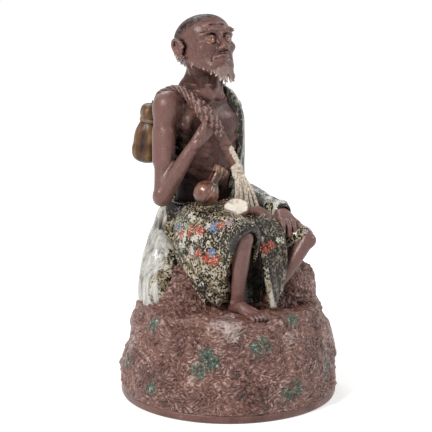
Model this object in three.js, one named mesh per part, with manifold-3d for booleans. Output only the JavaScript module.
// Seated wanderer on a rock: a hand-built clay ornament, made as the potter makes it,
// from separately formed pieces that are luted together before firing.
// Millimetres, +Z up, the figure looks along -Y, origin at the middle of the rock's foot.
import * as THREE from 'three';
import { mergeVertices } from 'three/addons/utils/BufferGeometryUtils.js';
import Module from 'manifold-3d';

const wasm = await Module();
wasm.setup();

// Driving dimensions: rock
const slipGap = 0.3; // slip joint left between luted pieces
const baseRadius = 109;
const rimHeight = 8;
const rimWidth = 16;
const rimChamfer = 1.5;
const rockWall = 9;
const ledgeHeight = 95; // step in front that carries the foot
const ledgeRadius = 88;
const seatHeight = 148;
const seatSide = 2;
const seatLead = 8; // seat's middle, ahead of the body's
const seatHalfWidth = 42;
const seatHalfDepth = 32;
const seatFootHalfWidth = 80; // rock just above the step
const seatFootHalfDepth = 66;
const seatFootSetBack = 14;
const ventRadius = 7; // lets air out of the body while it is fired
const lumpDepth = 1.4;
const lumpPitch = 80;
const lumpFade = 40; // the foot stays round below this height
const humpDepth = 4; // main swellings and hollows of the mound
const humpFade = 14;
const boulderReach = 54; // side boulder's middle, from the axis
const boulderAngle = -35;
const boulderRadius = 35;
const boulderHeight = 137;

// Driving dimensions: body
const torsoHeight = 152; // seat to the top of the shoulders
const bodySetBack = 44;
const hipHalfWidth = 37;
const hipHalfDepth = 27;
const waistHalfWidth = 33;
const waistHalfDepth = 23;
const chestHalfWidth = 41;
const chestHalfDepth = 25;
const hollowHalfWidth = 17; // bored from below, so that the body dries evenly
const hollowHalfDepth = 13;
const hollowHeight = 105;
const shoulderHalfWidth = 46;
const shoulderDrop = 10;
const neckRadius = 18.5;
const neckSide = 2; // the neck stands a little to the right
const neckSocketDepth = 14;
const trapeziusRise = 8;

// Driving dimensions: head
const headHeight = 66;
const headWidth = 55;
const headDepth = 64;
const headTilt = 20; // looks up, in degrees
const headSide = 9;
const headForward = 16;
const headRise = 47; // middle of the head above the shoulders
const noseLength = 6.5;
const noseWidth = 7.2;
const eyeRadius = 3.2;
const earHeight = 22;
const earWidth = 13;
const earThickness = 8;
const browThickness = 2.4;
const beardThickness = 5;
const beardLength = 17;
const hairThickness = 1.6;

// Driving dimensions: limbs
const upperArmRadius = 12;
const elbowRadius = 10;
const wristRadius = 7.2;
const elbowDrop = 88;
const elbowForward = 15;
const elbowOut = 14;
const leftElbowDrop = 94;
const leftElbowBack = 6;
const leftElbowOut = 6;
const gripDrop = 32; // right hand below the shoulders
const gripSide = 23;
const gripStandOff = 14;
const handLength = 22;
const fingerRadius = 2.6;
const kneeRadius = 8.5;
const shinRadius = 6.6;
const ankleRadius = 5.8;
const ankleRise = 15; // above the step
const shinSetBack = 19; // ankle behind the knee
const rightKneeSide = 29;
const rightKneeReach = 118; // knee in front of the hips
const rightKneeRise = 26; // above the seat
const leftKneeSide = 47;
const leftKneeReach = 112;
const leftKneeRise = 14;
const leftHandInset = 7; // left wrist inside the knee, and behind it
const leftHandSetBack = 34;
const footLength = 39;
const footHalfWidth = 8;
const toeRadius = 2.3;

// Driving dimensions: robe
const robeThickness = 5;
const thighRadius = 20;
const lapRise = 27; // middle of the thighs above the seat, at the hips
const lapHalfDepth = 42;
const waistRise = 45; // top of the skirt above the seat
const hemHeight = 92;
const panelHemHeight = 105;
const panelHalfWidth = 20;
const panelHalfLength = 48;
const hemHalfWidth = 62;
const hemHalfDepth = 43;
const skirtHalfWidth = 44;
const skirtHalfDepth = 34;
const foldDepth = 2;
const foldPitch = 250;
const tailHalfWidth = 17;
const flapHalfWidth = 15;
const flapSide = 6;
const innerFoldHalfWidth = 19;
const mantleThickness = 4.5;
const mantleShift = 12; // the mantle hangs on the left shoulder
const sleeveRadius = 12;
const cuffRadius = 9.5;
const lapelHalfWidth = 4.5;
const lapelThickness = 2.4;

// Driving dimensions: rope, gourds and toggle
const ropeRadius = 5;
const ropeEndRadius = 4;
const knotRadius = 6.5;
const knotDrop = 73; // below the shoulders
const strandRadius = 1.7;
const strandCount = 5;
const flaskRadius = 12;
const flaskNeckRadius = 5.2;
const flaskNeckLength = 15;
const stopperRadius = 6.4;
const stopperLength = 7;
const gourdDrop = 74; // gourd's foot below the shoulders
const gourdRadius = 16;
const gourdLength = 43;
const gourdTopRadius = 11;
const gourdTopLength = 19;
const gourdWaistRadius = 7;
const gourdLobes = 7;
const gourdLobeDepth = 1.2;
const tieRadius = 1.8;
const stemRadius = 2.4;
const stemLength = 3;
const toggleRadius = 12.5;
const toggleThickness = 6;
const sashEndRadius = 4;

// Places worked out from the driving dimensions
const vec = (x, y, z) => new THREE.Vector3(x, y, z);
const mix = THREE.MathUtils.lerp;
const radians = THREE.MathUtils.degToRad;
const towards = (x, y, z, length) => vec(x, y, z).setLength(length);
const shoulderZ = seatHeight + torsoHeight;
const chestFrontY = bodySetBack - chestHalfDepth;
const chestBackY = bodySetBack + chestHalfDepth;
const neckFoot = vec(-neckSide, bodySetBack, shoulderZ - neckSocketDepth * 0.57);
const headCentre = vec(-headSide, bodySetBack - headForward, shoulderZ + headRise);
const rightShoulder = vec(-shoulderHalfWidth, bodySetBack, shoulderZ - shoulderDrop);
const leftShoulder = vec(shoulderHalfWidth * 0.85, bodySetBack + mantleThickness, shoulderZ - shoulderDrop);
const rightElbow = rightShoulder.clone().add(vec(-elbowOut, -elbowForward, -elbowDrop));
const leftElbow = leftShoulder.clone().add(vec(leftElbowOut, leftElbowBack, -leftElbowDrop));
const grip = vec(-gripSide, chestFrontY - gripStandOff, shoulderZ - gripDrop);
const rightWrist = grip.clone().add(towards(-1, 0, -1, handLength * 0.77));
const rightKnee = vec(-rightKneeSide, bodySetBack - rightKneeReach, seatHeight + rightKneeRise);
const leftKnee = vec(leftKneeSide, bodySetBack - leftKneeReach, seatHeight + leftKneeRise);
const rightAnkle = vec(-rightKneeSide, rightKnee.y + shinSetBack, ledgeHeight + ankleRise);
const leftAnkle = vec(footHalfWidth * 0.5, leftKnee.y + shinSetBack * 0.42, ledgeHeight + ankleRise * 0.8);
const leftWrist = leftKnee.clone().add(vec(-leftHandInset, leftHandSetBack, kneeRadius + cuffRadius * 1.5));
const lapZ = seatHeight + lapRise;
const lapTopZ = lapZ + thighRadius;
const waistZ = seatHeight + waistRise;
const boulderMiddle = vec(boulderReach, 0, 0).applyAxisAngle(vec(0, 0, 1), radians(boulderAngle));
// A point by its shares of the chest's half-width and half-depth, from the chest's middle
const onChest = (across, back, z) => vec(chestHalfWidth * across, bodySetBack + chestHalfDepth * back, z);

// Clay forming: every helper returns a closed indexed geometry
function skin(rings, startTip, endTip) {
  const sides = rings[0].length;
  const points = [...rings.flat(), startTip, endTip];
  const start = points.length - 2;
  const end = points.length - 1;
  const last = (rings.length - 1) * sides;
  const index = [];
  for (let j = 0; j < sides; j += 1) {
    const next = (j + 1) % sides;
    for (let i = 0; i < last; i += sides) {
      index.push(i + j, i + next, i + next + sides, i + j, i + next + sides, i + j + sides);
    }
    index.push(start, next, j, end, last + j, last + next);
  }
  return new THREE.BufferGeometry().setFromPoints(points).setIndex(index);
}

// Level rings {z, x, y, rx, ry} piled on each other; wave(angle, height) moves the wall out
function pile(levels, sides, wave = () => 0) {
  const rings = levels.map(({ z, x, y, rx, ry }) => Array.from({ length: sides }, (_, j) => {
    const angle = (2 * Math.PI * j) / sides;
    const out = wave(angle, z);
    return vec(x + (rx + out) * Math.cos(angle), y + (ry + out) * Math.sin(angle), z);
  }));
  const first = levels[0];
  const top = levels.at(-1);
  return skin(rings, vec(first.x, first.y, first.z), vec(top.x, top.y, top.z));
}

// Rolled coil through stations [point, half-size across, half-size through], with round ends
function coil(stations, { sides = 10, across = vec(1, 0, 0), steps = 2 } = {}) {
  const route = new THREE.CatmullRomCurve3(stations.map((s) => s[0]), false, 'centripetal');
  const sizes = new THREE.CatmullRomCurve3(stations.map((s) => vec(s[1], s[2] ?? s[1], 0)));
  const count = (stations.length - 1) * steps;
  const section = (point, along, a, b) => {
    const u = across.clone().addScaledVector(along, -across.dot(along)).normalize();
    const v = along.clone().cross(u);
    return Array.from({ length: sides }, (_, j) => {
      const angle = (2 * Math.PI * j) / sides;
      return point.clone().addScaledVector(u, a * Math.cos(angle)).addScaledVector(v, b * Math.sin(angle));
    });
  };
  const rings = [];
  const tips = [];
  for (let i = 0; i <= count; i += 1) {
    const point = route.getPoint(i / count);
    const along = route.getTangent(i / count);
    const size = sizes.getPoint(i / count);
    const end = i === 0 ? -1 : 1;
    const bulge = Math.min(size.x, size.y) * end;
    const capAt = point.clone().addScaledVector(along, bulge * 0.6);
    const cap = section(capAt, along, size.x * 0.75, size.y * 0.75);
    if (i === 0) rings.push(cap);
    rings.push(section(point, along, size.x, size.y));
    if (i === count) rings.push(cap);
    if (i === 0 || i === count) tips.push(point.clone().addScaledVector(along, bulge * 0.9));
  }
  return skin(rings, tips[0], tips[1]);
}

function bare(geometry) {
  geometry.deleteAttribute('normal');
  geometry.deleteAttribute('uv');
  return mergeVertices(geometry, 1e-4);
}

// Ball squeezed to three half-sizes
function lump(centre, rx, ry, rz, sides = 12) {
  const ball = new THREE.SphereGeometry(1, sides, Math.ceil(sides * 0.6)).rotateX(Math.PI / 2);
  return bare(ball.scale(rx, ry, rz).translate(centre.x, centre.y, centre.z));
}

// Thrown form: profile of [radius, height] pairs turned about an axis from foot towards tip
function thrown(profile, foot, tip, sides, wave = () => 0) {
  const outline = profile.map(([r, h]) => new THREE.Vector2(r, h));
  const turned = bare(new THREE.LatheGeometry(outline, sides).rotateX(Math.PI / 2));
  const position = turned.attributes.position;
  for (let i = 0; i < position.count; i += 1) {
    const at = vec(position.getX(i), position.getY(i), position.getZ(i));
    const share = 1 + wave(Math.atan2(at.y, at.x));
    position.setXY(i, at.x * share, at.y * share);
  }
  const turn = new THREE.Quaternion().setFromUnitVectors(vec(0, 0, 1), tip.clone().sub(foot).normalize());
  return turned.applyQuaternion(turn).translate(foot.x, foot.y, foot.z);
}

function solid(geometry) {
  const vertProperties = new Float32Array(geometry.attributes.position.array);
  const triVerts = new Uint32Array(geometry.index.array);
  return new wasm.Manifold(new wasm.Mesh({ numProp: 3, vertProperties, triVerts }));
}

function shape(body) {
  const mesh = body.getMesh();
  const geometry = new THREE.BufferGeometry();
  geometry.setAttribute('position', new THREE.BufferAttribute(mesh.vertProperties, 3));
  return geometry.setIndex(new THREE.BufferAttribute(mesh.triVerts, 1));
}

const joined = (...parts) => shape(parts.map(solid).reduce((sum, part) => sum.add(part)));

// Same form with its wall moved out by the slip joint
function eased(geometry, gap = slipGap) {
  const wider = geometry.clone();
  wider.computeVertexNormals();
  const { position, normal } = wider.attributes;
  for (let i = 0; i < position.count; i += 1) {
    position.setXYZ(
      i,
      position.getX(i) + normal.getX(i) * gap,
      position.getY(i) + normal.getY(i) * gap,
      position.getZ(i) + normal.getZ(i) * gap,
    );
  }
  return wider;
}

// Finishes
const clay = (color, roughness) => new THREE.MeshStandardMaterial({ color, roughness, metalness: 0 });
const skinClay = clay('#7d5349', 0.55);
const rockClay = clay('#80574d', 0.7);
const hairClay = clay('#6b5a50', 0.8);
const robeEnamel = clay('#5c5340', 0.35);
const paleGlaze = clay('#b4afa4', 0.35);
const ivoryGlaze = clay('#d8c9b3', 0.45);
const ropeClay = clay('#6f473d', 0.7);
const flaskGlaze = clay('#6a3d26', 0.2);
const gourdGlaze = clay('#6b5034', 0.25);
const eyeGilt = new THREE.MeshStandardMaterial({ color: '#caa552', roughness: 0.3, metalness: 0.8 });

const figurine = new THREE.Group();
const rock = new THREE.Group();
const body = new THREE.Group();
const robe = new THREE.Group();
const gear = new THREE.Group();
figurine.add(rock, body, robe, gear);
const forms = new Map();
const rightArm = ['right_upper_arm', 'right_forearm'];
const leftSleeve = ['left_upper_sleeve', 'left_lower_sleeve'];

// Adds one luted piece: its form, cut back from the pieces it is set against and hollowed
function lute(group, name, form, material, against = [], hollows = []) {
  forms.set(name, form);
  const tools = [...against.map((other) => eased(forms.get(other))), ...hollows];
  const rest = tools.reduce((left, tool) => left.subtract(solid(tool)), solid(form));
  const largest = rest.decompose().sort((a, b) => b.volume() - a.volume())[0];
  const mesh = new THREE.Mesh(shape(largest), material);
  mesh.name = name;
  group.add(mesh);
}

// Rock
function lumps(angle, z) {
  const depth = lumpDepth * THREE.MathUtils.smoothstep(z, rimHeight, rimHeight + lumpFade);
  const turn = (2 * Math.PI * z) / lumpPitch;
  return depth * (0.6 * Math.sin(5 * angle + turn) + 0.4 * Math.sin(9 * angle - 1.6 * turn));
}

// Swellings and hollows: [angle, height as a share of the step's, half-width, half-height, push out]
const mound = [
  [197, 1.08, 38, 0.34, 2.2], // spur under the robe's right side
  [187, 0.7, 13, 0.24, 0.9],
  [212, 0.75, 7, 0.24, -0.6], // hollow that runs down from the foot
  [237, 0.82, 17, 0.2, 0.9],
  [239, 0.5, 22, 0.11, -0.6],
  [211, 0.34, 15, 0.15, 0.7],
  [250, 0.32, 14, 0.14, 0.7],
  [270, 0.76, 6, 0.22, -0.6],
  [291, 0.74, 15, 0.24, 1],
  [283, 0.36, 14, 0.14, 0.7],
  [312, 0.4, 12, 0.16, 0.6],
  [326, 0.68, 14, 0.22, 0.9],
  [345, 0.36, 14, 0.16, 0.7],
  [353, 0.84, 15, 0.2, 0.9],
  [14, 0.52, 14, 0.22, -0.6],
  [32, 0.8, 16, 0.2, 0.9],
  [40, 0.34, 15, 0.15, 0.7],
  [64, 0.56, 12, 0.26, -0.6],
  [82, 0.78, 16, 0.22, 0.9],
  [94, 0.34, 15, 0.15, 0.6],
  [118, 0.6, 13, 0.24, -0.6],
  [136, 0.34, 14, 0.15, 0.7],
  [143, 0.84, 15, 0.2, 0.8],
  [167, 0.42, 14, 0.18, 0.8],
];

function humps(angle, z) {
  const depth = humpDepth * THREE.MathUtils.smoothstep(z, rimHeight, rimHeight + humpFade);
  const height = z / ledgeHeight;
  const total = mound.reduce((sum, [at, level, wide, tall, push]) => {
    const turn = THREE.MathUtils.euclideanModulo(THREE.MathUtils.radToDeg(angle) - at + 180, 360) - 180;
    return sum + push * Math.exp(-((turn / wide) ** 2) - ((height - level) / tall) ** 2);
  }, 0);
  return depth * total;
}

function rockLevels(inset, floor) {
  const foot = [0, 0.1, 0.22, 0.34, 0.46, 0.58, 0.7, 0.82, 0.92, 1].map((t) => {
    const radius = mix(baseRadius, ledgeRadius, t ** 1.6) - inset;
    return { z: mix(floor, ledgeHeight - inset, t), x: 0, y: 0, rx: radius, ry: radius };
  });
  const seat = [0.08, 0.24, 0.42, 0.62, 0.8, 1].map((t) => ({
    z: mix(ledgeHeight, seatHeight, t) - inset,
    x: seatSide,
    y: mix(seatFootSetBack, bodySetBack - seatLead, t),
    rx: mix(seatFootHalfWidth, seatHalfWidth, t ** 2.2) - inset,
    ry: mix(seatFootHalfDepth, seatHalfDepth, t ** 1.5) - inset,
  }));
  return [...foot, ...seat];
}

function rim() {
  const inner = baseRadius - rimWidth;
  const profile = [
    [inner, 0],
    [baseRadius - rimChamfer, 0],
    [baseRadius, rimChamfer],
    [baseRadius, rimHeight],
    [inner, rimHeight],
    [inner, 0],
  ];
  return thrown(profile, vec(0, 0, 0), vec(0, 0, 1), 48);
}

const vent = bare(new THREE.CylinderGeometry(ventRadius, ventRadius, 4 * rockWall, 16).rotateX(Math.PI / 2))
  .translate(seatSide, bodySetBack, seatHeight);
const rockFloor = rimHeight + slipGap;
const rockHollow = pile(rockLevels(rockWall, rockFloor - rockWall), 20);
lute(rock, 'foot_rim', rim(), rockClay);
const rockForm = pile(rockLevels(0, rockFloor), 48, (angle, z) => lumps(angle, z) + humps(angle, z));
lute(rock, 'rock_base', rockForm, rockClay, [], [rockHollow, vent]);

const boulderForm = pile([[0, 1], [0.45, 1], [0.68, 0.93], [0.86, 0.78], [1, 0.44]].map(([t, share]) => ({
  z: mix(ledgeHeight - boulderRadius, boulderHeight, t),
  x: boulderMiddle.x,
  y: boulderMiddle.y,
  rx: boulderRadius * share,
  ry: boulderRadius * share,
})), 18, lumps);
lute(rock, 'side_boulder', boulderForm, rockClay, ['rock_base']);

// Head, in its own frame: x to the figure's left, -y out of the face, z to the crown
const headFrame = new THREE.Matrix4().makeRotationX(radians(-headTilt)).setPosition(headCentre);
const inHead = (x, y, z) => vec(x, y, z).applyMatrix4(headFrame);
const headUp = vec(0, 0, 1).transformDirection(headFrame);
const crownZ = headHeight / 2;
const faceY = -headDepth * 0.46;
const skullAt = vec(0, headDepth * 0.05, crownZ * 0.26);
const jawAt = vec(0, -headDepth * 0.15, -crownZ * 0.36);
const skull = lump(skullAt, headWidth / 2, headDepth / 2, crownZ * 0.76, 18);
const jaw = lump(jawAt, headWidth * 0.4, headDepth * 0.32, crownZ * 0.66, 16);
const nose = coil([
  [vec(0, faceY + headDepth * 0.024, crownZ * 0.12), noseWidth * 0.25],
  [vec(0, faceY - noseLength * 0.35, -crownZ * 0.1), noseWidth * 0.36],
  [vec(0, faceY - noseLength * 0.45, -crownZ * 0.24), noseWidth * 0.5],
], { sides: 8, steps: 1 });
const nape = inHead(0, headDepth * 0.1, -crownZ * 0.5);
const neck = coil([
  [neckFoot, neckRadius * 1.05],
  [neckFoot.clone().lerp(nape, 0.5), neckRadius],
  [inHead(0, headDepth * 0.1, -crownZ * 0.3), neckRadius * 0.95],
], { sides: 14 });
const headParts = [skull, jaw, nose].map((part) => part.applyMatrix4(headFrame));
lute(body, 'head', joined(...headParts, neck), skinClay);

for (const [side, sign] of [['right', -1], ['left', 1]]) {
  const ear = coil([
    [inHead(sign * headWidth * 0.49, earWidth * 0.3, -earHeight * 0.42), earThickness * 0.34, earWidth * 0.3],
    [inHead(sign * headWidth * 0.52, earWidth * 0.38, -earHeight * 0.1), earThickness * 0.45, earWidth * 0.44],
    [inHead(sign * headWidth * 0.54, earWidth * 0.5, earHeight * 0.25), earThickness * 0.4, earWidth * 0.42],
  ], { sides: 8, steps: 1 });
  lute(body, `${side}_ear`, ear, skinClay, ['head']);
  const brow = coil([0.12, 0.26, 0.4].map((share, i) => [
    inHead(sign * headWidth * share, faceY + headDepth * (0.016 + 0.036 * i * i), crownZ * (0.23 + 0.03 * i)),
    browThickness * (1.2 - 0.2 * i),
  ]), { sides: 8, across: headUp, steps: 1 });
  lute(body, `${side}_eyebrow`, brow, hairClay, ['head']);
  const eyeAt = inHead(sign * headWidth * 0.2, faceY + eyeRadius * 1.1, crownZ * 0.05);
  const eye = lump(eyeAt, eyeRadius, eyeRadius, eyeRadius, 10);
  lute(body, `${side}_eye`, eye, eyeGilt, ['head', `${side}_eyebrow`]);
}

const chinY = faceY + beardThickness;
const chinZ = -crownZ * 0.8;
const jawLine = [-0.46, -0.36, -0.2, 0, 0.2, 0.36, 0.46].map((share) => [
  inHead(headWidth * share, chinY + headDepth * 1.95 * share ** 2, -crownZ * (0.89 - 3.3 * share ** 2)),
  beardThickness * (1 - 0.9 * Math.abs(share)),
]);
const goatee = coil([
  [inHead(0, chinY, chinZ), beardThickness * 1.3],
  [inHead(-beardThickness * 0.2, chinY, chinZ - beardLength * 0.55), beardThickness * 0.9],
  [inHead(-beardThickness * 0.4, chinY, chinZ - beardLength), beardThickness * 0.35],
], { sides: 8 });
const beardForm = joined(coil(jawLine, { sides: 8, across: headUp, steps: 1 }), goatee);
lute(body, 'beard', beardForm, hairClay, ['head', 'right_ear', 'left_ear']);

const hairLine = [20, 50, 90, 130, 160].map(radians).map((angle) => [
  inHead(headWidth * 0.5 * Math.cos(angle), headDepth * (0.05 + 0.5 * Math.sin(angle)), 0),
  crownZ * 0.34,
  hairThickness * 1.8,
]);
const hairForm = coil(hairLine, { sides: 8, across: headUp });
lute(body, 'hair_fringe', hairForm, hairClay, ['head', 'right_ear', 'left_ear']);

// Torso: bored from the seat, with a socket for the neck
const torsoForm = pile([
  [0, 1, hipHalfWidth, hipHalfDepth, 0.08],
  [0.17, 0.5, hipHalfWidth, hipHalfDepth, 0.08],
  [0.33, 0, waistHalfWidth, waistHalfDepth, 0],
  [0.56, 0, mix(waistHalfWidth, chestHalfWidth, 0.6), mix(waistHalfDepth, chestHalfDepth, 0.6), -0.04],
  [0.76, 0, chestHalfWidth, chestHalfDepth, 0],
  [0.9, -0.5, chestHalfWidth, chestHalfDepth * 0.92, 0.08],
  [0.96, -1, chestHalfWidth * 0.82, chestHalfDepth * 0.76, 0.08],
  [1, -1, neckRadius * 1.27, neckRadius * 1.03, 0.04],
  [1 + trapeziusRise / torsoHeight, -1.5, neckRadius * 1.06, neckRadius * 0.95, 0],
].map(([t, side, rx, ry, back]) => ({
  z: mix(seatHeight + slipGap, shoulderZ, t),
  x: neckSide * side,
  y: bodySetBack + chestHalfDepth * back,
  rx,
  ry,
})), 24);
const torsoBore = pile([[-0.1, 1], [0.8, 0.9], [0.94, 0.7], [1, 0.35]].map(([t, share]) => ({
  z: seatHeight + hollowHeight * t,
  x: 0,
  y: bodySetBack,
  rx: hollowHalfWidth * share,
  ry: hollowHalfDepth * share,
})), 16);
lute(body, 'torso', torsoForm, skinClay, ['head'], [torsoBore]);

// Rope over the right shoulder, held at the chest
const gourdFoot = onChest(-1.02, 1, shoulderZ - gourdDrop).add(vec(0, gourdRadius * 1.38, 0));
const gourdTip = onChest(-0.88, 1, shoulderZ - gourdDrop * 0.12).add(vec(0, gourdTopRadius * 1.1, 0));
const gourdAxis = gourdTip.clone().sub(gourdFoot).normalize();
const gourdWaist = gourdFoot.clone().addScaledVector(gourdAxis, gourdLength);
const ropeLow = onChest(-0.17, -1, shoulderZ - gripDrop * 1.16).add(vec(0, -ropeRadius * 1.4, 0));
const ropeRoute = [
  gourdWaist.clone().add(vec(0, -gourdTopRadius, 0)),
  onChest(-0.9, 1.12, shoulderZ - ropeRadius * 1.2),
  onChest(-0.85, 0.64, shoulderZ + ropeRadius * 0.6),
  onChest(-0.78, 0.08, shoulderZ + ropeRadius * 1.2),
  onChest(-0.68, -0.64, shoulderZ - ropeRadius * 0.2),
  onChest(-0.51, -1, shoulderZ - ropeRadius * 2.4),
  onChest(-0.34, -1, shoulderZ - ropeRadius * 4.8).add(vec(0, -ropeRadius * 0.8, 0)),
  ropeLow,
];
const facing = vec(0.75, 0.6, 0.3).normalize();
const ropeStations = ropeRoute.map((point) => [point, ropeRadius * 1.15, ropeRadius * 0.9]);
const ropeForm = coil(ropeStations, { sides: 10, across: facing });

const knotAt = onChest(0.22, -1.76, shoulderZ - knotDrop);
const ropeEndForm = coil([
  [ropeLow.clone().lerp(knotAt, 0.02), ropeEndRadius * 0.9],
  [onChest(0.05, -1.48, mix(ropeLow.z, knotAt.z, 0.44)), ropeEndRadius],
  [onChest(0.17, -1.64, mix(ropeLow.z, knotAt.z, 0.78)), ropeEndRadius],
  [knotAt, ropeEndRadius * 0.9],
], { sides: 10, across: facing, steps: 1 });

// Arms and hands
const rightUpperArm = coil([
  [rightShoulder, upperArmRadius * 1.04],
  [rightShoulder.clone().lerp(rightElbow, 0.5), upperArmRadius * 0.92],
  [rightElbow, elbowRadius],
], { sides: 12 });
const rightForearm = coil([
  [rightElbow, elbowRadius],
  [rightElbow.clone().lerp(rightWrist, 0.4), elbowRadius * 0.9],
  [rightWrist, wristRadius],
], { sides: 12 });
lute(body, 'right_upper_arm', rightUpperArm, skinClay, ['torso']);
lute(body, 'right_forearm', rightForearm, skinClay, ['torso', 'right_upper_arm']);
lute(gear, 'shoulder_rope', ropeForm, ropeClay, ['torso', ...rightArm, 'head']);
lute(gear, 'rope_end', ropeEndForm, ivoryGlaze, ['shoulder_rope', 'torso']);

// A hand from the wrist: palm and four fingers that bend at the knuckles, and a thumb
function hand(wrist, knuckles, tips, spread, thumbOut) {
  const along = knuckles.clone().sub(wrist);
  const palm = coil([
    [wrist, wristRadius * 0.9, wristRadius * 0.75],
    [wrist.clone().addScaledVector(along, 0.55), spread.length() * 1.55, fingerRadius * 1.6],
    [knuckles, spread.length() * 1.75, fingerRadius * 1.3],
  ], { sides: 10, across: spread.clone().normalize() });
  const fingers = [-1.5, -0.5, 0.5, 1.5].map((place) => {
    const root = knuckles.clone().addScaledVector(spread, place * 0.78).addScaledVector(along, -0.12);
    const tip = tips.clone().addScaledVector(spread, place * 0.8);
    const bend = root.clone().lerp(tip, 0.5).addScaledVector(along, 0.16);
    const stations = [[root, fingerRadius], [bend, fingerRadius], [tip, fingerRadius * 0.85]];
    return coil(stations, { sides: 7, steps: 1 });
  });
  const thumbRoot = wrist.clone().addScaledVector(along, 0.4);
  const thumb = coil([
    [thumbRoot, fingerRadius],
    [thumbRoot.clone().add(thumbOut).addScaledVector(along, 0.25), fingerRadius],
    [thumbRoot.clone().addScaledVector(thumbOut, 1.2).addScaledVector(along, 0.6), fingerRadius * 0.8],
  ], { sides: 7, across: vec(0.3, 0.9, 0.2), steps: 1 });
  return joined(palm, ...fingers, thumb);
}

const fingerSpread = fingerRadius * 1.6;
const rightKnuckles = rightWrist.clone().lerp(grip, handLength / rightWrist.distanceTo(grip));
const rightHandForm = hand(
  rightWrist.clone().lerp(grip, 0.1),
  rightKnuckles,
  rightKnuckles.clone().add(towards(10, 9, -1, handLength * 0.61)),
  towards(2.6, -0.6, -3.4, fingerSpread),
  towards(1, -3, 7, handLength * 0.35),
);
lute(body, 'right_hand', rightHandForm, skinClay, [...rightArm, 'shoulder_rope', 'rope_end', 'torso']);

// Legs and foot
const rightLegForm = coil([
  [rightKnee, kneeRadius],
  [rightKnee.clone().lerp(rightAnkle, 0.35), shinRadius * 1.09],
  [rightKnee.clone().lerp(rightAnkle, 0.7), shinRadius * 0.94],
  [rightAnkle, ankleRadius],
], { sides: 12 });
lute(body, 'right_leg', rightLegForm, skinClay, ['rock_base']);

const heel = vec(rightAnkle.x, rightAnkle.y + ankleRadius * 0.7, ledgeHeight + ankleRadius);
const ball = heel.clone().add(vec(footHalfWidth * 0.6, -footLength * 0.7, -ankleRadius * 0.5));
const instep = heel.clone().lerp(ball, 0.45).add(vec(0, 0, ankleRadius * 0.5));
const footForm = joined(
  coil([
    [heel, ankleRadius * 0.95],
    [instep, footHalfWidth * 0.8, ankleRadius * 1.05],
    [ball, footHalfWidth, ankleRadius * 0.7],
  ], { sides: 12 }),
  ...[-2, -1, 0, 1, 2].map((place) => {
    const size = toeRadius * (1 + 0.14 * place);
    const root = ball.clone().add(vec(place * footHalfWidth * 0.42, 0, 0));
    const reach = footLength * (0.22 + 0.018 * place);
    const tip = root.clone().add(vec(footHalfWidth * (0.12 + 0.06 * place), -reach, -toeRadius * 0.4));
    return coil([[root, size], [tip, size]], { sides: 7, steps: 1 });
  }),
);
lute(body, 'right_foot', footForm, skinClay, ['right_leg', 'rock_base']);

const leftLegForm = coil([
  [leftKnee, kneeRadius],
  [leftKnee.clone().lerp(leftAnkle, 0.4), shinRadius * 1.09],
  [leftAnkle, ankleRadius],
], { sides: 12, across: vec(0, 1, 0) });
lute(body, 'left_leg', leftLegForm, skinClay, ['rock_base', 'side_boulder']);

// Robe
const foldTurn = (2 * Math.PI) / foldPitch;
const folds = (count, turn) => (angle, z) => foldDepth * Math.sin(count * angle + turn + foldTurn * z);
const backFlare = [[0, 0], [0.14, 0.04], [0.36, 0.25], [0.6, 0.62], [0.85, 0.93], [1, 1]];
const backForm = pile(backFlare.map(([t, share]) => ({
  z: mix(hemHeight, waistZ, t),
  x: 0,
  y: bodySetBack,
  rx: mix(hemHalfWidth, skirtHalfWidth, share),
  ry: mix(hemHalfDepth, skirtHalfDepth, share),
})), 32, folds(9, 0.5));
lute(robe, 'robe_back_drape', backForm, robeEnamel, ['rock_base', 'side_boulder', 'torso', ...rightArm]);

const hipAt = (side) => vec(side, bodySetBack - hipHalfDepth * 0.67, lapZ);
const rightThigh = coil([
  [hipAt(-thighRadius), thighRadius + robeThickness, thighRadius],
  [hipAt(-thighRadius).lerp(rightKnee, 0.5), thighRadius * 1.1, thighRadius * 0.92],
  [rightKnee.clone().add(vec(0, kneeRadius, 0)), kneeRadius + robeThickness * 1.4, kneeRadius + robeThickness],
], { sides: 14 });
const leftThigh = coil([
  [hipAt(thighRadius), thighRadius + robeThickness, thighRadius],
  [hipAt(thighRadius).lerp(leftKnee, 0.5), thighRadius, thighRadius * 0.85],
  [leftKnee.clone().add(vec(0, kneeRadius * 0.7, 0)), kneeRadius + robeThickness * 0.9],
], { sides: 14 });
const lapWeb = pile([[-0.7, 0.9], [0, 1], [0.5, 0.85], [0.8, 0.5]].map(([rise, share]) => ({
  z: lapZ + thighRadius * rise,
  x: (leftKneeSide - rightKneeSide) * 0.3,
  y: bodySetBack - hipHalfDepth - lapHalfDepth * 0.55,
  rx: (rightKneeSide + leftKneeSide) * 0.45 * share,
  ry: lapHalfDepth * share,
})), 18);
const legs = ['right_leg', 'left_leg'];
const underLap = ['rock_base', 'side_boulder', 'torso', 'robe_back_drape', ...rightArm, ...legs];
const lap = ['robe_right_thigh', 'robe_left_thigh', 'robe_lap'];
lute(robe, 'robe_right_thigh', rightThigh, robeEnamel, underLap);
lute(robe, 'robe_left_thigh', leftThigh, robeEnamel, [...underLap, 'robe_right_thigh']);
lute(robe, 'robe_lap', lapWeb, robeEnamel, [...underLap, 'robe_right_thigh', 'robe_left_thigh']);

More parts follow.
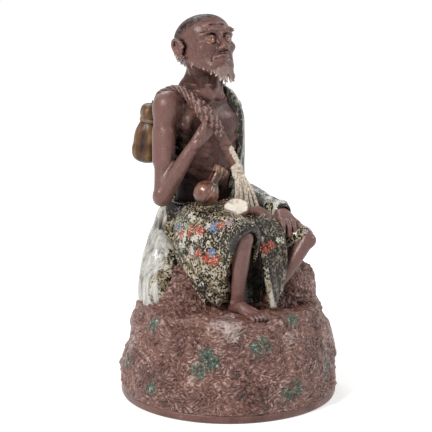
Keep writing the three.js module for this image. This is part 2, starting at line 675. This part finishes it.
const panelForm = pile([
  [0, 1.34, 0.69, 0.65, 0.27],
  [0.2, 1.45, 0.63, 0.8, 0.54],
  [0.42, 1.48, 0.54, 0.9, 0.79],
  [0.65, 1.38, 0.51, 1, 0.96],
  [0.85, 1.2, 0.51, 0.95, 1],
  [1, 1.07, 0.51, 0.55, 0.83],
].map(([t, side, reach, wide, long]) => ({
  z: mix(panelHemHeight, lapTopZ - foldDepth * 4, t),
  x: -rightKneeSide * side,
  y: bodySetBack - rightKneeReach * reach,
  rx: panelHalfWidth * wide,
  ry: panelHalfLength * long,
})), 28, folds(7, 1));
lute(robe, 'robe_right_panel', panelForm, robeEnamel,
  ['rock_base', ...lap, 'robe_back_drape', 'right_leg', 'right_foot', 'torso', ...rightArm]);

const onSkirt = (across, back, z) => vec(skirtHalfWidth * across, bodySetBack + skirtHalfDepth * back, z);
const tailForm = coil([
  [onSkirt(-0.93, 0.38, waistZ - waistRise * 0.27), tailHalfWidth * 0.6],
  [onSkirt(-1.11, 0.59, waistZ - waistRise * 0.96), tailHalfWidth * 0.9],
  [onSkirt(-1.25, 0.76, hemHeight + waistRise * 0.58), tailHalfWidth],
  [onSkirt(-1.27, 0.8, hemHeight), tailHalfWidth * 0.9],
].map(([point, wide]) => [point, wide, robeThickness * 1.1]), { sides: 14, across: vec(0.57, 0.82, 0) });
lute(robe, 'robe_tail', tailForm, paleGlaze,
  ['rock_base', 'robe_back_drape', 'robe_right_panel', 'torso', ...rightArm]);

// Cloth that hangs from the lap behind the right shin, and the flap in front of it
const shinAt = (share) => mix(ledgeHeight, rightKnee.z, share);
const innerFoldForm = coil([
  [vec(-rightKneeSide * 0.35, rightKnee.y + kneeRadius * 4, shinAt(0.95)), innerFoldHalfWidth],
  [vec(-rightKneeSide * 0.35, rightKnee.y + kneeRadius * 3.3, shinAt(0.55)), innerFoldHalfWidth],
  [vec(-rightKneeSide * 0.3, rightKnee.y + kneeRadius * 2.9, shinAt(0.1)), innerFoldHalfWidth * 0.8],
].map(([point, wide]) => [point, wide, robeThickness * 0.8]), { sides: 12 });
lute(robe, 'robe_inner_fold', innerFoldForm, robeEnamel,
  ['rock_base', 'side_boulder', ...lap, 'robe_right_panel', ...legs, 'right_foot']);

const flapTop = vec(flapSide, rightKnee.y + kneeRadius * 3, lapTopZ - thighRadius * 0.6);
const flapForm = coil([
  [flapTop, flapHalfWidth * 0.9],
  [vec(flapSide, rightKnee.y + kneeRadius * 1.2, shinAt(0.95)), flapHalfWidth],
  [vec(flapSide, rightKnee.y + kneeRadius * 0.5, shinAt(0.6)), flapHalfWidth * 0.9],
  [vec(flapSide * 0.7, rightKnee.y + kneeRadius * 0.25, shinAt(0.3)), flapHalfWidth * 0.65],
  [vec(flapSide * 0.2, rightKnee.y + kneeRadius * 0.1, ledgeHeight + robeThickness * 1.4), flapHalfWidth * 0.3],
].map(([point, wide]) => [point, wide, robeThickness]), { sides: 12 });
lute(robe, 'robe_front_flap', flapForm, robeEnamel,
  ['rock_base', 'side_boulder', ...lap, ...legs, 'right_foot', 'robe_inner_fold']);

const mantleForm = pile([
  [-0.06, 0.67, 1.02, 1.21],
  [0.2, 0.92, 0.95, 1.09],
  [0.5, 1, 0.93, 1.01],
  [0.75, 1, 0.93, 1.01],
  [0.9, 1.25, 0.68, 0.89],
  [1, 1.25, 0.51, 0.61],
  [1.05, 1.25, 0.24, 0.37],
].map(([t, shift, wide, deep]) => ({
  z: mix(waistZ, shoulderZ, t),
  x: mantleShift * shift,
  y: bodySetBack + mantleThickness * 1.33,
  rx: chestHalfWidth * wide,
  ry: chestHalfDepth * deep,
})), 26);
lute(robe, 'robe_mantle', mantleForm, robeEnamel,
  ['torso', 'head', 'robe_back_drape', ...lap, 'shoulder_rope', 'rope_end', ...rightArm]);

const upperSleeve = coil([
  [leftShoulder.clone().add(vec(0, 0, -sleeveRadius * 0.5)), sleeveRadius * 0.76],
  [leftShoulder.clone().lerp(leftElbow, 0.5), sleeveRadius * 0.92],
  [leftElbow, sleeveRadius],
], { sides: 12 });
const lowerSleeve = coil([
  [leftElbow, sleeveRadius],
  [leftElbow.clone().lerp(leftWrist, 0.5), sleeveRadius * 0.92],
  [leftWrist, cuffRadius],
], { sides: 12 });
const underSleeve = ['torso', 'robe_mantle', 'robe_back_drape', ...lap, 'side_boulder', 'left_leg'];
lute(robe, 'left_upper_sleeve', upperSleeve, robeEnamel, underSleeve);
lute(robe, 'left_lower_sleeve', lowerSleeve, robeEnamel, [...underSleeve, 'left_upper_sleeve']);

const leftKnuckles = leftWrist.clone().add(towards(-4, -17.6, -6.6, handLength * 0.87));
const leftHandForm = hand(
  leftWrist.clone().lerp(leftKnuckles, 0.2),
  leftKnuckles,
  leftKnuckles.clone().add(towards(-1, -9, -11, handLength * 0.65)),
  towards(3.9, -0.8, -0.6, fingerSpread),
  towards(-7, -2, -2, handLength * 0.34),
);
lute(body, 'left_hand', leftHandForm, skinClay, [...leftSleeve, ...lap, 'left_leg', 'robe_front_flap']);

const lapelForm = coil([
  [onChest(0.15, 0.88, shoulderZ + lapelHalfWidth * 1.3), lapelHalfWidth * 0.8],
  [onChest(0.44, 0.12, shoulderZ + lapelHalfWidth * 1.8), lapelHalfWidth],
  [onChest(0.73, -0.32, shoulderZ - torsoHeight * 0.06), lapelHalfWidth],
  [onChest(0.88, -0.48, shoulderZ - torsoHeight * 0.22), lapelHalfWidth],
  [onChest(0.83, -0.6, shoulderZ - torsoHeight * 0.37), lapelHalfWidth],
  [onChest(0.68, -0.76, shoulderZ - torsoHeight * 0.49), lapelHalfWidth],
  [onChest(0.49, -0.96, shoulderZ - torsoHeight * 0.625), lapelHalfWidth * 0.8],
].map(([point, wide]) => [point, wide, lapelThickness]), { sides: 8, across: vec(0.8, -0.6, 0.2).normalize() });
lute(robe, 'robe_lapel', lapelForm, paleGlaze,
  ['torso', 'head', 'robe_mantle', ...lap, ...leftSleeve, 'rope_end', 'robe_back_drape']);

// Frayed end of the rope
const knotForm = lump(knotAt, knotRadius, knotRadius * 0.8, knotRadius * 0.8, 10);
lute(gear, 'rope_knot', knotForm, ivoryGlaze, ['rope_end', 'torso', 'robe_mantle', 'robe_lapel']);
const strands = Array.from({ length: strandCount }, (_, i) => `rope_strand_${i + 1}`);
strands.forEach((name, i) => {
  const place = strandCount > 1 ? i / (strandCount - 1) : 0.5;
  const top = knotAt.clone().add(vec(knotRadius * mix(-0.62, 0.62, place), 0, -knotRadius * 0.5));
  const lowZ = lapTopZ + strandRadius * mix(1.8, -3, place);
  const low = onChest(mix(-0.02, 0.49, place), mix(-2.32, -2.64, place), lowZ);
  const bow = top.clone().lerp(low, 0.5).add(vec(0, -strandRadius * 1.8, strandRadius * 0.6));
  const strand = coil([[top, strandRadius], [bow, strandRadius], [low, strandRadius * 0.8]], { sides: 7 });
  lute(gear, name, strand, ivoryGlaze,
    ['rope_knot', 'rope_end', ...lap, 'torso', 'robe_mantle', 'robe_lapel', ...strands.slice(0, i)]);
});

// Flask at the waist
const flaskMiddle = onChest(-0.68, -1.8, lapTopZ + flaskRadius * 0.9);
const flaskAxis = vec(0.58, -0.1, 0.81).normalize();
const flaskFoot = flaskMiddle.clone().addScaledVector(flaskAxis, -flaskRadius);
const bulb = [0, 25, 50, 75, 100, 125].map(radians).map((angle) => [
  flaskRadius * Math.sin(angle),
  flaskRadius * (1 - Math.cos(angle)),
]);
const neckTop = 1.7 * flaskRadius + flaskNeckLength;
const neckProfile = [[flaskNeckRadius, 1.75 * flaskRadius], [flaskNeckRadius, neckTop], [0, neckTop]];
const flaskForm = thrown([...bulb, ...neckProfile], flaskFoot, flaskMiddle, 18);
lute(gear, 'flask', flaskForm, flaskGlaze,
  [...lap, 'torso', ...rightArm, 'robe_right_panel', 'robe_back_drape', 'right_hand', 'robe_mantle']);
const stopperFoot = flaskFoot.clone().addScaledVector(flaskAxis, neckTop + slipGap);
const stopperProfile = [[0, 0], [1, 0], [1, 0.8], [0.7, 1], [0, 1]]
  .map(([r, h]) => [stopperRadius * r, stopperLength * h]);
const stopperForm = thrown(stopperProfile, stopperFoot, stopperFoot.clone().add(flaskAxis), 16);
lute(gear, 'flask_stopper', stopperForm, flaskGlaze,
  ['torso', ...rightArm, 'right_hand', 'rope_end', 'rope_knot']);

// Gourd carried on the back
const lobes = (angle) => (gourdLobeDepth / gourdRadius) * Math.cos(gourdLobes * angle);
const onBack = ['torso', 'robe_mantle', 'shoulder_rope', ...rightArm];
const gourdShares = [[0, 0], [0.5, 0.03], [0.85, 0.13], [1, 0.3], [0.95, 0.48], [0.98, 0.62], [0.86, 0.8]];
const gourdCurve = [...gourdShares, [0.6, 0.93]].map(([r, h]) => [gourdRadius * r, gourdLength * h]);
const gourdShoulder = [[gourdWaistRadius, gourdLength - slipGap], [0, gourdLength - slipGap]];
const gourdForm = thrown([...gourdCurve, ...gourdShoulder], gourdFoot, gourdTip, 28, lobes);
lute(gear, 'back_gourd', gourdForm, gourdGlaze, onBack);
const grooveHeight = 2 * tieRadius + slipGap;
const topCurve = [[0, 0], [0.4, 0.85], [0.6, 1], [0.8, 0.85], [0.95, 0.4]].map(([t, share]) => [
  mix(gourdWaistRadius, gourdTopRadius, share),
  mix(grooveHeight, gourdTopLength, t),
]);
const topProfile = [[0, 0], [gourdWaistRadius, 0], ...topCurve, [0, gourdTopLength]];
lute(gear, 'back_gourd_top', thrown(topProfile, gourdWaist, gourdTip, 18), gourdGlaze, onBack);
const gourdEnd = gourdWaist.clone().addScaledVector(gourdAxis, gourdTopLength - stemRadius * 0.5);
const stemTip = gourdEnd.clone().addScaledVector(gourdAxis, stemLength);
const stemForm = coil([[gourdEnd, stemRadius], [stemTip, stemRadius * 0.75]], { sides: 8, steps: 1 });
lute(gear, 'gourd_stem', stemForm, gourdGlaze, ['back_gourd_top', ...onBack]);
const tieAt = gourdWaist.clone().addScaledVector(gourdAxis, tieRadius);
const tieForm = bare(new THREE.TorusGeometry(gourdWaistRadius + slipGap + tieRadius, tieRadius, 6, 18))
  .applyQuaternion(new THREE.Quaternion().setFromUnitVectors(vec(0, 0, 1), gourdAxis))
  .translate(tieAt.x, tieAt.y, tieAt.z);
lute(gear, 'gourd_tie', tieForm, ivoryGlaze, onBack);

// Toggle and sash end on the lap
const toggleFace = vec(-0.33, -0.46, 0.82).normalize();
const toggleFoot = onChest(-0.24, -2.84, lapTopZ - toggleThickness * 0.67);
const toggleProfile = [[0, 0], [0.8, 0], [1, 0.3], [1, 0.6], [0.85, 0.9], [0, 1]]
  .map(([r, h]) => [toggleRadius * r, toggleThickness * h]);
const toggleForm = thrown(toggleProfile, toggleFoot, toggleFoot.clone().add(toggleFace), 22);
lute(gear, 'toggle', toggleForm, ivoryGlaze, [...lap, 'robe_right_panel', 'flask', ...strands]);
const sashLead = (reach) => towards(3, -2, -1, toggleRadius * reach).add(toggleFoot);
const sashForm = coil([
  [sashLead(0.9), sashEndRadius * 0.8],
  [sashLead(1.75), sashEndRadius],
  [flapTop.clone().add(vec(flapSide * 1.2, sashEndRadius * 0.5, -sashEndRadius * 0.2)), sashEndRadius],
  [flapTop.clone().add(vec(flapSide * 0.3, -sashEndRadius * 1.5, -sashEndRadius * 2.5)), sashEndRadius * 0.8],
], { sides: 10, across: vec(0, 1, 0.3).normalize() });
lute(gear, 'sash_end', sashForm, ropeClay, ['toggle', ...lap, 'robe_front_flap', 'right_leg', ...strands]);

export default figurine;
